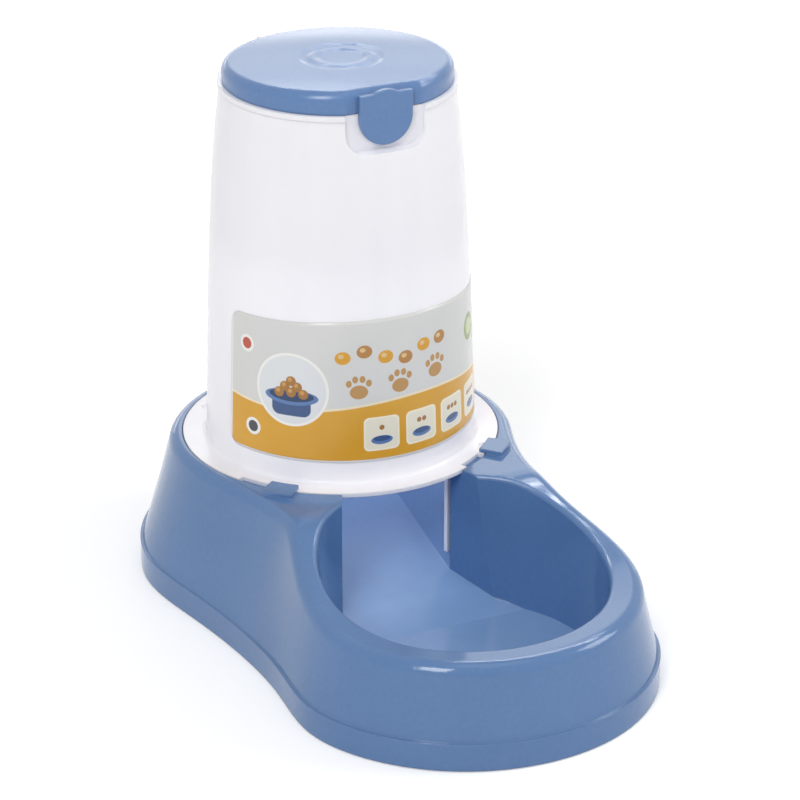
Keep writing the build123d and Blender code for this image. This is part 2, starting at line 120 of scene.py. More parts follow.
def new_finish(name):
    """An empty finish: itself, its tree, its shader and the object coordinates."""
    finish = bpy.data.materials.new(name)
    finish.use_nodes = True
    tree = finish.node_tree
    place = add(tree, "ShaderNodeTexCoord").outputs["Object"]
    return finish, tree, tree.nodes["Principled BSDF"], place


print("pale blue in linear light:", [round(v, 3) for v in paint("7C9BCB")])

# %% [markdown]
# ## The studio floor
# The photo shows the feeder cut out on white. A plain white floor does the same job if it looks
# white to the camera and yet still takes the shadow. So the floor gives a little light of its
# own, but only to rays that come from the camera, a mirror or glass, and more of it further out,
# where the lamps fade.

# %% Lay the floor
floor_reach = 6.0
floor_corners = [(-floor_reach, -floor_reach, 0), (floor_reach, -floor_reach, 0),
                 (floor_reach, floor_reach, 0), (-floor_reach, floor_reach, 0)]
floor_mesh = bpy.data.meshes.new("floor")
floor_mesh.from_pydata(floor_corners, [], [(0, 1, 2, 3)])
floor = bpy.data.objects.new("floor", floor_mesh)
bpy.context.collection.objects.link(floor)
print("floor is", 2 * floor_reach, "m across")

# %% Paint the floor matt white
# The first two are distances from the middle of the floor, in metres.
glow_starts = 0.4
glow_full = 2.2
least_glow = 0.30
most_glow = 0.75


def seen_directly(tree):
    """One where a ray comes from the camera, a mirror or glass, and nought elsewhere."""
    rays = add(tree, "ShaderNodeLightPath")
    first = add(tree, "ShaderNodeMath", {0: rays.outputs["Is Camera Ray"], 1: rays.outputs["Is Glossy Ray"]},
                operation="MAXIMUM")
    return add(tree, "ShaderNodeMath", {0: first.outputs[0], 1: rays.outputs["Is Transmission Ray"]},
               operation="MAXIMUM").outputs[0]


white_floor = bpy.data.materials.new("matt_white_floor")
white_floor.use_nodes = True
tree = white_floor.node_tree
tree.nodes.remove(tree.nodes["Principled BSDF"])
matt = add(tree, "ShaderNodeBsdfDiffuse", {"Color": paint("F2F2F2")})
where = add(tree, "ShaderNodeTexCoord").outputs["Object"]
far = add(tree, "ShaderNodeVectorMath", {0: where}, operation="LENGTH").outputs["Value"]
share = add(tree, "ShaderNodeMapRange", {"Value": far, "From Min": glow_starts, "From Max": glow_full,
                                         "To Min": least_glow, "To Max": most_glow}).outputs[0]
lift = add(tree, "ShaderNodeMath", {0: seen_directly(tree), 1: share}, operation="MULTIPLY")
glow = add(tree, "ShaderNodeEmission", {"Color": paint("FFFFFF"), "Strength": lift.outputs[0]})
both = add(tree, "ShaderNodeAddShader", {0: matt.outputs[0], 1: glow.outputs[0]})
tree.links.new(both.outputs[0], tree.nodes["Material Output"].inputs["Surface"])
floor_mesh.materials.append(white_floor)
print("floor wears", white_floor.name)

# %% [markdown]
# ## The sky
# The studio's walls and ceiling are one even white sky, which costs little and leaves no lamp's
# shape in the gloss. It lights the feeder at about half strength, so that the lamps can still
# shape it, and it looks fully white to the camera, a mirror or glass.

# %% Hang the sky
sky_light = 0.47
sky_look = 1.0
sky = bpy.data.worlds.new("soft_white_sky")
sky.use_nodes = True
tree = sky.node_tree
even = add(tree, "ShaderNodeBackground", {"Color": paint("FFFFFF"), "Strength": sky_light})
plain = add(tree, "ShaderNodeBackground", {"Color": paint("FFFFFF"), "Strength": sky_look})
pick = add(tree, "ShaderNodeMixShader", {0: seen_directly(tree), 1: even.outputs[0], 2: plain.outputs[0]})
tree.links.new(pick.outputs[0], tree.nodes["World Output"].inputs["Surface"])
bpy.context.scene.world = sky
bpy.context.scene.view_settings.view_transform = "Standard"
print("sky lights at", sky_light, "and looks like", sky_look)

# %% [markdown]
# ## The lamps
# Broad soft lamps give plastic its smooth shading. The brightest stands at the front left, a
# weaker one at the right opens the shadows, and a faint one hangs overhead. Two behind the feeder
# are seen as a pale sheen in the lid. Two thin strips show only as reflections, and draw bright
# lines along the rounded edges.

# %% Hang the soft lamps
lamp_aim = Vector((0, 0, 0.1))


def soft_lamp(name, place, width, height, power):
    """An oblong soft lamp that faces the feeder, in metres and watts."""
    lamp = bpy.data.lights.new(name, "AREA")
    lamp.shape = "RECTANGLE"
    lamp.size = width
    lamp.size_y = height
    lamp.energy = power
    hung = bpy.data.objects.new(name, lamp)
    hung.location = place
    hung.rotation_euler = (Vector(place) - lamp_aim).to_track_quat("Z", "Y").to_euler()
    bpy.context.collection.objects.link(hung)
    return hung


soft_lamp("key_softbox", (-1.3, -1.3, 1.9), width=0.7, height=1.3, power=26)
soft_lamp("right_softbox", (1.7, -0.6, 1.2), width=0.8, height=0.8, power=11)
soft_lamp("top_softbox", (0.2, -0.4, 2.2), width=1.0, height=1.0, power=2.5)
soft_lamp("back_softbox", (1.0, 2.1, 1.35), width=1.5, height=1.1, power=6.0)
soft_lamp("horizon_strip", (1.2, 2.5, 0.45), width=3.0, height=0.2, power=5.6)
edge_strips = [soft_lamp("high_edge_strip", (0.35, 0.32, 0.74), width=0.9, height=0.03, power=1.8),
               soft_lamp("low_edge_strip", (0.234, 0.232, 0.453), width=0.5, height=0.015, power=0.25)]
for strip in edge_strips:
    strip.visible_diffuse = False
    strip.visible_camera = False

# %% [markdown]
# ## Daylight inside the tank
# A milky wall lets daylight into the tank, and what is inside then looks bright through the
# throat. Following every such ray through the wall would be slow, so a weak round lamp in the
# middle of the tank stands for that light.

# %% Light the tank from within
tank_axis_y = 59.5
glow_height = 165
glow_width = 80
glow_power = 0.07
inner_glow = bpy.data.lights.new("light_through_the_tank", "AREA")
inner_glow.shape = "DISK"
inner_glow.size = glow_width * MM
inner_glow.energy = glow_power
glowing = bpy.data.objects.new("light_through_the_tank", inner_glow)
glowing.location = (0, tank_axis_y * MM, glow_height * MM)
glowing.visible_camera = False
bpy.context.collection.objects.link(glowing)
print("the lamp in the tank gives", glow_power, "W")

# %% [markdown]
# ## Moulded polypropylene
# Injection-moulded polypropylene copies the steel of its mould. A polished mould gives the base
# its gloss, and a finely blasted one makes the lid satin. The colour drifts by a few percent
# along the way the melt flowed, and edges that are handled turn slightly paler. Noise in real
# millimetres gives the drift, and a Bevel node finds the edges, so nothing has to be painted by
# hand. One recipe serves both blue pieces, with a different colour and gloss.

# %% Pale rubbed edges
# The middle two are cosines of the angle between the rounded normal and the face's own.
rub_width = 1.1
rub_starts = 0.995
rub_full = 0.90
rub_most = 0.45


def rub_edges(tree, colour, worn, patchy):
    """Pale a colour in patches along the edges. Gives the colour and the rounded normal."""
    edge = add(tree, "ShaderNodeBevel", {"Radius": rub_width * MM}, samples=4).outputs[0]
    surface = add(tree, "ShaderNodeNewGeometry").outputs["Normal"]
    bend = add(tree, "ShaderNodeVectorMath", {0: edge, 1: surface}, operation="DOT_PRODUCT").outputs["Value"]
    rub = add(tree, "ShaderNodeMapRange", {"Value": bend, "From Min": rub_starts, "From Max": rub_full,
                                           "To Min": 0.0, "To Max": rub_most}).outputs[0]
    patch = add(tree, "ShaderNodeMath", {0: rub, 1: patchy}, operation="MULTIPLY").outputs[0]
    rubbed = add(tree, "ShaderNodeMix", {0: patch, 6: colour, 7: paint(worn)}, data_type="RGBA").outputs[2]
    return rubbed, edge


print("edges take up to", round(100 * rub_most), "percent of the worn colour")

# %% A recipe for moulded plastic
# The grain is drawn coarser than a real mould leaves it, so that it shows.
polypropylene_ior = 1.49
flow_length = 70
speck_size = 2.2
speck_most = 0.06
grain_size = 0.9
grain_strength = 0.5


def moulded_plastic(name, colour, deep, worn, gloss_low, gloss_high, grain_depth):
    """Moulded plastic: flow tint, faint specks, fine grain, pale rubbed edges."""
    finish, tree, shader, place = new_finish(name)
    flow = add(tree, "ShaderNodeTexNoise", {"Vector": place, "Scale": 1 / (flow_length * MM), "Detail": 3.0,
                                            "Distortion": 0.6}).outputs["Fac"]
    tint = add(tree, "ShaderNodeMix", {0: flow, 6: paint(deep), 7: paint(colour)}, data_type="RGBA")
    speck = add(tree, "ShaderNodeTexNoise", {"Vector": place, "Scale": 1 / (speck_size * MM), "Detail": 2.0})
    dust = add(tree, "ShaderNodeMapRange", {"Value": speck.outputs["Fac"], "From Min": 0.35, "From Max": 0.75,
                                            "To Min": 0.0, "To Max": speck_most})
    dusty = add(tree, "ShaderNodeMix", {0: dust.outputs[0], 6: tint.outputs[2], 7: paint(worn)},
                data_type="RGBA")
    rubbed, edge = rub_edges(tree, dusty.outputs[2], worn, flow)
    gloss = add(tree, "ShaderNodeMapRange", {"Value": flow, "From Min": 0.3, "From Max": 0.7,
                                             "To Min": gloss_low, "To Max": gloss_high})
    grain = add(tree, "ShaderNodeTexNoise", {"Vector": place, "Scale": 1 / (grain_size * MM), "Detail": 3.0})
    bump = add(tree, "ShaderNodeBump", {"Height": grain.outputs["Fac"], "Distance": grain_depth * MM,
                                        "Strength": grain_strength, "Normal": edge})
    tree.links.new(rubbed, shader.inputs["Base Color"])
    tree.links.new(gloss.outputs[0], shader.inputs["Roughness"])
    tree.links.new(bump.outputs[0], shader.inputs["Normal"])
    shader.inputs["IOR"].default_value = polypropylene_ior
    return finish


base_finish = moulded_plastic("glossy_blue_polypropylene", colour="5D81B3", deep="5176A6", worn="84A4D0",
                              gloss_low=0.08, gloss_high=0.12, grain_depth=0.010)
lid_finish = moulded_plastic("satin_blue_polypropylene", colour="6083B5", deep="5B7EAF", worn="8CA9D2",
                             gloss_low=0.19, gloss_high=0.23, grain_depth=0.010)
print("finishes:", base_finish.name, lid_finish.name)

# %% [markdown]
# ## A painted sheen where the food runs
# Kibble slides down the ramp and lies on the bowl's floor. These faces are painted paler, a
# painted sheen that stands for the white tank reflected in them and the light from above, and
# they are made a little duller too. The place is found from the shape itself: faces that look up,
# lower than the rim, and not far from the line between the bowl's middle and the tank's. Three
# masks multiplied say where.

# %% Find the floor where a sheen is painted
# Places and widths are in millimetres. The last two say how squarely a face looks up.
bowl_middle_y = -68.3
sheen_reach = 66.0
sheen_border = 2
sheen_top = 24.0
sheen_fade = 14
too_steep = 0.80
flat_enough = 0.95


def floor_sheen_masks(tree):
    """Three masks: near the bowl's line, low down, and looking up."""
    place = add(tree, "ShaderNodeTexCoord").outputs["Object"]
    spot = add(tree, "ShaderNodeSeparateXYZ", {0: place})
    low = add(tree, "ShaderNodeMath", {0: spot.outputs["Y"], 1: bowl_middle_y * MM}, operation="MAXIMUM")
    near = add(tree, "ShaderNodeMath", {0: low.outputs[0], 1: tank_axis_y * MM}, operation="MINIMUM")
    line = add(tree, "ShaderNodeCombineXYZ", {1: near.outputs[0], 2: spot.outputs["Z"]})
    away = add(tree, "ShaderNodeVectorMath", {0: place, 1: line.outputs[0]}, operation="DISTANCE")
    inside = add(tree, "ShaderNodeMapRange", {"Value": away.outputs["Value"], "From Min": sheen_reach * MM,
                                              "From Max": (sheen_reach - sheen_border) * MM})
    below = add(tree, "ShaderNodeMapRange", {"Value": spot.outputs["Z"], "From Min": sheen_top * MM,
                                             "From Max": (sheen_top - sheen_fade) * MM})
    facing = add(tree, "ShaderNodeSeparateXYZ", {0: add(tree, "ShaderNodeNewGeometry").outputs["Normal"]})
    level = add(tree, "ShaderNodeMapRange", {"Value": facing.outputs["Z"], "From Min": too_steep,
                                             "From Max": flat_enough})
    return inside, below, level


# This is the height at which the painted sheen fades out above the table.
print("food rubs up to", sheen_top, "mm above the table")

# %% Paint a sheen on that floor
sheen_patch_length = 14.0
sheen_evenness = 0.8


def paint_floor_sheen(finish, code, most, rougher):
    """Lay a pale painted sheen over one finish on the floor and ramp, and make it rougher there."""
    tree = finish.node_tree
    shader = tree.nodes["Principled BSDF"]
    under = shader.inputs["Base Color"].links[0].from_socket
    gloss = shader.inputs["Roughness"].links[0].from_socket
    place = add(tree, "ShaderNodeTexCoord").outputs["Object"]
    streak = add(tree, "ShaderNodeTexNoise", {"Vector": place, "Scale": 1 / (sheen_patch_length * MM),
                                              "Detail": 5.0, "Roughness": 0.6}).outputs["Fac"]
    share = add(tree, "ShaderNodeMapRange", {"Value": streak, "From Min": 0.25, "From Max": 0.75,
                                             "To Min": most * sheen_evenness, "To Max": most}).outputs[0]
    for mask in floor_sheen_masks(tree):
        share = add(tree, "ShaderNodeMath", {0: share, 1: mask.outputs[0]}, operation="MULTIPLY").outputs[0]
    # The pale colour is a painted sheen, standing for the tank's reflection and the light from above.
    painted_sheen = add(tree, "ShaderNodeMix", {0: share, 6: under, 7: paint(code)}, data_type="RGBA")
    dull = add(tree, "ShaderNodeMath", {0: share, 1: rougher, 2: gloss}, operation="MULTIPLY_ADD")
    tree.links.new(painted_sheen.outputs[2], shader.inputs["Base Color"])
    tree.links.new(dull.outputs[0], shader.inputs["Roughness"])


# A painted sheen, paler and rougher, on the bowl's floor and ramp.
paint_floor_sheen(base_finish, code="8BABD4", most=0.75, rougher=0.14)
print("nodes in the base's finish:", len(base_finish.node_tree.nodes))

# %% [markdown]
# ## Milky polypropylene
# The tank is the same plastic with no pigment. Its walls let light in, scatter it a few
# millimetres and let it out again, so its shadows are soft and faintly lilac. Subsurface scatter
# gives that, and costs less than a glassy shader full of fine haze. Faint greyer streaks are
# painted up the wall as painted reflections of the studio: they are a noise pattern drawn out along the
# height.

# %% The milky finish of the tank
# The grain is again drawn coarser than it is, so that it shows.
tank_flow_length = 55
streak_width = 24
streak_squeeze = 0.12
painted_streak_most = 0.16
tank_grain_size = 1.2
tank_grain_depth = 0.012
tank_edge_width = 0.6
scatter_depth = 3
scatter_share = 0.35


def milky_plastic(name):
    """Unpigmented polypropylene: pale, scattering, softly glossy."""
    finish, tree, shader, place = new_finish(name)
    flow = add(tree, "ShaderNodeTexNoise", {"Vector": place, "Scale": 1 / (tank_flow_length * MM),
                                            "Detail": 2.0})
    tint = add(tree, "ShaderNodeMix", {0: flow.outputs["Fac"], 6: paint("F5F3FA"), 7: paint("F9F8FD")},
               data_type="RGBA")
    drawn_out = add(tree, "ShaderNodeVectorMath", {0: place, 1: (1, 1, streak_squeeze)}, operation="MULTIPLY")
    streak = add(tree, "ShaderNodeTexNoise", {"Vector": drawn_out.outputs[0],
                                              "Scale": 1 / (streak_width * MM), "Detail": 2.0}).outputs["Fac"]
    reflection_streaks = add(tree, "ShaderNodeMapRange", {"Value": streak, "From Min": 0.45, "From Max": 0.72,
                                            "To Min": 0.0, "To Max": painted_streak_most})
    # The greyer streaks mixed in here are painted reflections of the studio.
    streaked_tint = add(tree, "ShaderNodeMix", {0: reflection_streaks.outputs[0], 6: tint.outputs[2], 7: paint("E2E1EC")},
               data_type="RGBA")
    gloss = add(tree, "ShaderNodeMapRange", {"Value": flow.outputs["Fac"], "To Min": 0.18, "To Max": 0.22})
    grain = add(tree, "ShaderNodeTexNoise", {"Vector": place, "Scale": 1 / (tank_grain_size * MM),
                                             "Detail": 2.0})
    edge = add(tree, "ShaderNodeBevel", {"Radius": tank_edge_width * MM}, samples=4)
    bump = add(tree, "ShaderNodeBump", {"Height": grain.outputs["Fac"], "Distance": tank_grain_depth * MM,
                                        "Strength": 0.4, "Normal": edge.outputs[0]})
    tree.links.new(streaked_tint.outputs[2], shader.inputs["Base Color"])
    tree.links.new(gloss.outputs[0], shader.inputs["Roughness"])
    tree.links.new(bump.outputs[0], shader.inputs["Normal"])
    shader.inputs["IOR"].default_value = polypropylene_ior
    shader.inputs["Subsurface Weight"].default_value = scatter_share
    shader.inputs["Subsurface Radius"].default_value = (1.0, 0.95, 1.0)
    shader.inputs["Subsurface Scale"].default_value = scatter_depth * MM
    return finish


tank_finish = milky_plastic("milky_polypropylene")
print("finish:", tank_finish.name)

# %% [markdown]
# ## Dress the moulded pieces
# Base, lid and tank keep their measured solids, whose shapes are already those of the mouldings.
# Only the finish in each material slot changes.

# %% Give the moulded pieces their finishes
def dress(node_name, finish):
    """Put one finish on every slot of a measured solid."""
    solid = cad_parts[node_name]
    if not solid.data.materials:
        solid.data.materials.append(finish)
    for slot in solid.material_slots:
        slot.material = finish
    print(node_name, "wears", finish.name)


dress("base_shell", base_finish)
dress("lid", lid_finish)
dress("tank", tank_finish)

# %% [markdown]
# ## The printed film
# A label is printed and cut flat, and only then wrapped round the tank. Geometry Nodes can follow
# that order: a flat grid is the sheet, its height is trimmed to a wavy top with rounded corners,
# and each point is then bent onto the tank's tapering wall. The flat place of every point is kept
# as an attribute in millimetres, so that the print can be laid out flat too.

# %% Sizes of the printed film
# Lengths are in millimetres and the half turn is in radians. The wall's radius is given at the
# film's foot, and changes above it by a slope and a slight curve.
sheet_half_turn = math.radians(77.5)
sheet_foot = 74.5
sheet_top = 137.5
sheet_wave = 3.2
sheet_corner = 6.0
sheet_thickness = 0.2
wall_middle_radius = 59.5
wall_foot_radius = 60.57
wall_slope = -0.0372
wall_curve = 0.0000195
sheet_half = wall_middle_radius * sheet_half_turn
print("film unrolled:", round(2 * sheet_half, 1), "mm long")

# %% [markdown]
# ## Cut the corners of the film
# A rounded corner is a quarter of a circle. Within one corner's length of an end, the sheet loses
# as much height as the circle lies below its top, found from a right-angled triangle whose long
# side is the circle's radius. The same is taken off at the foot, so all four corners match.

# %% How much the corners trim
def corner_trim(tree, sizes, length):
    """The height that a rounded corner takes off, by the length from the sheet's middle."""
    corner = sizes["Corner"]
    from_middle = add(tree, "ShaderNodeMath", {0: length}, operation="ABSOLUTE").outputs[0]
    straight = add(tree, "ShaderNodeMath", {0: sizes["Half length"], 1: corner},
                   operation="SUBTRACT").outputs[0]
    past = add(tree, "ShaderNodeMath", {0: from_middle, 1: straight}, operation="SUBTRACT").outputs[0]
    past = add(tree, "ShaderNodeMath", {0: past, 1: 0.0}, operation="MAXIMUM").outputs[0]
    corner_square = add(tree, "ShaderNodeMath", {0: corner, 1: corner}, operation="MULTIPLY").outputs[0]
    past_square = add(tree, "ShaderNodeMath", {0: past, 1: past}, operation="MULTIPLY").outputs[0]
    left = add(tree, "ShaderNodeMath", {0: corner_square, 1: past_square}, operation="SUBTRACT").outputs[0]
    left = add(tree, "ShaderNodeMath", {0: left, 1: 0.0}, operation="MAXIMUM").outputs[0]
    rise = add(tree, "ShaderNodeMath", {0: left}, operation="SQRT").outputs[0]
    return add(tree, "ShaderNodeMath", {0: corner, 1: rise}, operation="SUBTRACT").outputs[0]


print("corners take off up to", sheet_corner, "mm")

# %% [markdown]
# ## Cut the wavy top
# The top edge swells in the middle and falls towards both ends, as a cosine does. Each point of
# the grid keeps its share of the way from foot to top, so that the rows spread evenly.

# %% How high each point lies
wave_turn = 2.6


def cut_height(tree, sizes, along, share, trim):
    """The height of a point that lies a given share of the way up the cut sheet."""
    turned = add(tree, "ShaderNodeMath", {0: along, 1: wave_turn}, operation="MULTIPLY").outputs[0]
    swell = add(tree, "ShaderNodeMath", {0: turned}, operation="COSINE").outputs[0]
    swell = add(tree, "ShaderNodeMath", {0: swell, 1: 0.5, 2: 0.5}, operation="MULTIPLY_ADD").outputs[0]
    crest = add(tree, "ShaderNodeMath", {0: swell, 1: sizes["Wave"], 2: sizes["Top"]},
                operation="MULTIPLY_ADD").outputs[0]
    high = add(tree, "ShaderNodeMath", {0: crest, 1: trim}, operation="SUBTRACT").outputs[0]
    low = add(tree, "ShaderNodeMath", {0: sizes["Foot"], 1: trim}, operation="ADD").outputs[0]
    tall = add(tree, "ShaderNodeMath", {0: high, 1: low}, operation="SUBTRACT").outputs[0]
    return add(tree, "ShaderNodeMath", {0: share, 1: tall, 2: low}, operation="MULTIPLY_ADD").outputs[0]


print("film stands up to", sheet_top + sheet_wave, "mm high")

# %% [markdown]
# ## Bend the sheet onto the wall
# The tank tapers a little and its wall is very slightly curved, so the radius is worked out for
# each height. The length along the sheet then becomes an angle round the tank's axis.

# %% Where each point lies on the tank
def bent_place(tree, sizes, along, height, above):
    """The place on the tank's wall, in metres, of a point of the flat sheet."""
    slope = add(tree, "ShaderNodeMath", {0: above, 1: wall_curve, 2: wall_slope},
                operation="MULTIPLY_ADD").outputs[0]
    radius = add(tree, "ShaderNodeMath", {0: slope, 1: above, 2: wall_foot_radius},
                 operation="MULTIPLY_ADD").outputs[0]
    angle = add(tree, "ShaderNodeMath", {0: along, 1: sizes["Half turn"]}, operation="MULTIPLY").outputs[0]
    sine = add(tree, "ShaderNodeMath", {0: angle}, operation="SINE").outputs[0]
    cosine = add(tree, "ShaderNodeMath", {0: angle}, operation="COSINE").outputs[0]
    x = add(tree, "ShaderNodeMath", {0: radius, 1: sine}, operation="MULTIPLY").outputs[0]
    forward = add(tree, "ShaderNodeMath", {0: radius, 1: cosine}, operation="MULTIPLY").outputs[0]
    y = add(tree, "ShaderNodeMath", {0: tank_axis_y, 1: forward}, operation="SUBTRACT").outputs[0]
    bent = add(tree, "ShaderNodeCombineXYZ", {0: x, 1: y, 2: height}).outputs[0]
    return add(tree, "ShaderNodeVectorMath", {0: bent, "Scale": MM}, operation="SCALE").outputs[0]


print("the wall's radius at the film's foot:", wall_foot_radius, "mm")

# %% A tree that wraps the film
sheet_columns = 261
sheet_rows = 33


def wrapped_film_tree():
    """The tree: cut a flat sheet, then bend it onto the tank."""
    tree = bpy.data.node_groups.new("wrapped_film", "GeometryNodeTree")
    face = tree.interface
    face.new_socket("Geometry", in_out="OUTPUT", socket_type="NodeSocketGeometry")
    for label, value in (("Half length", sheet_half), ("Foot", sheet_foot), ("Top", sheet_top),
                         ("Wave", sheet_wave), ("Corner", sheet_corner), ("Half turn", sheet_half_turn)):
        socket = face.new_socket(label, in_out="INPUT", socket_type="NodeSocketFloat")
        socket.default_value = value
    face.new_socket("Finish", in_out="INPUT", socket_type="NodeSocketMaterial")
    sizes = add(tree, "NodeGroupInput").outputs
    result = add(tree, "NodeGroupOutput")
    flat = add(tree, "GeometryNodeMeshGrid", {"Size X": 2.0, "Size Y": 1.0, "Vertices X": sheet_columns,
                                              "Vertices Y": sheet_rows})
    spot = add(tree, "ShaderNodeSeparateXYZ", {0: add(tree, "GeometryNodeInputPosition").outputs[0]})
    along = spot.outputs["X"]
    share = add(tree, "ShaderNodeMath", {0: spot.outputs["Y"], 1: 0.5}, operation="ADD").outputs[0]
    length = add(tree, "ShaderNodeMath", {0: along, 1: sizes["Half length"]}, operation="MULTIPLY").outputs[0]
    height = cut_height(tree, sizes, along, share, corner_trim(tree, sizes, length))
    above = add(tree, "ShaderNodeMath", {0: height, 1: sizes["Foot"]}, operation="SUBTRACT").outputs[0]
    layout = add(tree, "ShaderNodeCombineXYZ", {0: length, 1: above, 2: 0.0})
    marked = add(tree, "GeometryNodeStoreNamedAttribute",
                 {"Geometry": flat.outputs["Mesh"], "Name": "print_mm", "Value": layout.outputs[0]},
                 data_type="FLOAT_VECTOR", domain="POINT")
    wrapped = add(tree, "GeometryNodeSetPosition",
                  {"Geometry": marked.outputs[0], "Position": bent_place(tree, sizes, along, height, above)})
    smooth = add(tree, "GeometryNodeSetShadeSmooth", {"Geometry": wrapped.outputs[0]})
    real = add(tree, "GeometryNodeRealizeInstances", {0: smooth.outputs[0]})
    painted = add(tree, "GeometryNodeSetMaterial", {"Geometry": real.outputs[0], "Material": sizes["Finish"]})
    tree.links.new(painted.outputs[0], result.inputs[0])
    return tree


film_tree = wrapped_film_tree()
print("nodes in the film's tree:", len(film_tree.nodes))

# %% [markdown]
# ## The print
# The print is grey above and ochre below, with a cream line between them. On it lie plain motifs:
# cards that count kibble, a dish, loose kibble, paw prints, rings and dots. Each motif is an oval
# or an oblong with rounded corners, placed in flat millimetres from the middle of the sheet's
# foot. First they are only planned, as a list, in the order in which a press would lay its inks.

# %% Plan the cards on the band
motifs = []
kibble = "A9763A"
kibble_light = "CC9C58"
dish_blue = "5E7FB4"
dish_shade = "3F5A88"
dish_inside = "2F4468"
card_rim = "FBF3DC"
card_face = "EFE9D6"
first_card_x = -7
card_step = 19.5
card_y = 12.8
count_y = 15.6
count_step = 2.7


def oval(ink, x, y, half_width, height_share=1.0):
    """Plan an oval of ink by its middle, half its width, and its height as a share of that."""
    motifs.append((ink, (x, y, 0), (0, 0, 0), half_width, height_share))


def oblong(ink, x, y, half_width, half_height, corner):
    """Plan an oblong of ink with rounded corners."""
    straight = (half_width - corner, half_height - corner, 0)
    motifs.append((ink, (x, y, 0), straight, corner, 1.0))


for number in range(4):
    middle = first_card_x + card_step * number
    oblong(card_rim, middle, card_y, 8.1, 7.9, corner=2.4)
    oblong(card_face, middle, card_y, 7.3, 7.1, corner=1.9)
    oval(dish_blue, middle, 9.8, 4.9, height_share=0.42)
    oval(dish_shade, middle, 10.4, 3.9, height_share=0.32)
    for bit in range(number + 1):
        oval(kibble, middle + count_step * (bit - number / 2), count_y, 1.15)
print("motifs planned:", len(motifs))

# %% Plan the dish of kibble
plate_x = -47.0
plate_y = 33.0
heap = ((-52.6, 31.4), (-47.0, 31.8), (-41.4, 31.4), (-49.9, 34.4), (-44.2, 34.5), (-47.0, 37.0))
oval("F6F4EF", plate_x, plate_y, 17.0)
oval("E3E6E8", plate_x, plate_y, 15.8)
oblong(dish_shade, plate_x, 25.4, 9.0, 4.6, corner=3.4)
oval(dish_blue, plate_x, 29.6, 12.4, height_share=0.30)
oval(dish_inside, plate_x, 30.2, 10.4, height_share=0.26)
for x, y in heap:
    oval(kibble, x, y, 2.3)
    oval(kibble_light, x - 0.5, y + 0.7, 1.0)
print("motifs planned:", len(motifs))

# %% Plan the loose kibble, rings, paw prints and dots
first_loose_x = -24.0
loose_step = 9.6
loose_y = 49.0
loose_sway = 2.6
sway_turn = 1.7
rings = ((52.0, 46.0, 6.4), (61.0, 40.0, 3.6), (66.0, 48.0, 2.6))
ring_hole = 0.62
paws = ((-17.0, 33.0), (2.0, 34.0), (21.0, 36.5))
toes = ((-4.4, 4.0), (-1.6, 5.9), (1.6, 5.9), (4.4, 4.0))
paw_tan = "C0935A"
dots = (("C2573E", -70.0, 50.0), ("4A4C50", -66.0, 12.0))
for number in range(6):
    x = first_loose_x + loose_step * number
    y = loose_y + loose_sway * math.sin(sway_turn * number)
    oval("B98446" if number % 2 else "DDA12E", x, y, 3.5, height_share=0.85)
    oval("E3C48E", x - 0.8, y + 0.8, 1.3, height_share=0.8)
for x, y, radius in rings:
    oval("8FA45A", x, y, radius)
    oval("C9D2A0", x, y, radius * ring_hole)
for x, y in paws:
    oval(paw_tan, x, y, 4.0, height_share=0.80)
    for toe_x, toe_y in toes:
        oval(paw_tan, x + toe_x, y + toe_y, 1.3, height_share=1.25)
for ink, x, y in dots:
    oval("F3F2EE", x, y, 4.0)
    oval(ink, x, y, 2.6)
print("motifs planned:", len(motifs))

# %% [markdown]
# ## Lay the inks
# A distance that is below nought inside a motif and above it outside becomes a mask when it is
# sharpened at its border, and the mask lays that ink over what is there. An oval is stretched to
# a circle first. A rounded oblong is a circle whose middle may lie anywhere on a smaller oblong,
# so one formula serves both. Drawn this way the print stays sharp from near by, and it needs no
# picture file.

# %% Turn distances into ink
ink_border = 0.12


def ink_over(tree, under, distance, over):
    """Lay one colour over another wherever a distance in millimetres is below nought."""
    mask = add(tree, "ShaderNodeMapRange", {"Value": distance, "From Min": -ink_border,
                                            "From Max": ink_border, "To Min": 1.0, "To Max": 0.0}).outputs[0]
    return add(tree, "ShaderNodeMix", {0: mask, 6: under, 7: over}, data_type="RGBA").outputs[2]


def print_motif(tree, spot, under, motif):
    """Lay one planned motif over the colour under it."""
    ink, middle, straight, corner, height_share = motif
    away = add(tree, "ShaderNodeVectorMath", {0: spot, 1: middle}, operation="SUBTRACT").outputs[0]
    away = add(tree, "ShaderNodeVectorMath", {0: away, 1: (1, height_share, 1)},
               operation="DIVIDE").outputs[0]
    away = add(tree, "ShaderNodeVectorMath", {0: away}, operation="ABSOLUTE").outputs[0]
    away = add(tree, "ShaderNodeVectorMath", {0: away, 1: straight}, operation="SUBTRACT").outputs[0]
    away = add(tree, "ShaderNodeVectorMath", {0: away, 1: (0, 0, 0)}, operation="MAXIMUM").outputs[0]
    reach = add(tree, "ShaderNodeVectorMath", {0: away}, operation="LENGTH").outputs["Value"]
    distance = add(tree, "ShaderNodeMath", {0: reach, 1: corner}, operation="SUBTRACT").outputs[0]
    return ink_over(tree, under, distance, paint(ink))


print("inks blend over", 2 * ink_border, "mm")

# %% The ground of the print
# Heights and widths are in millimetres, and the crest's turn is in radians for each millimetre.
cloud_size = 30
band_height = 26.0
crest_height = 2.6
crest_turn = 0.046
crest_start = 0.9
line_half_width = 0.55
side_hem = 1.3
foot_hem = 1.1
bare_film = "EFEFEC"


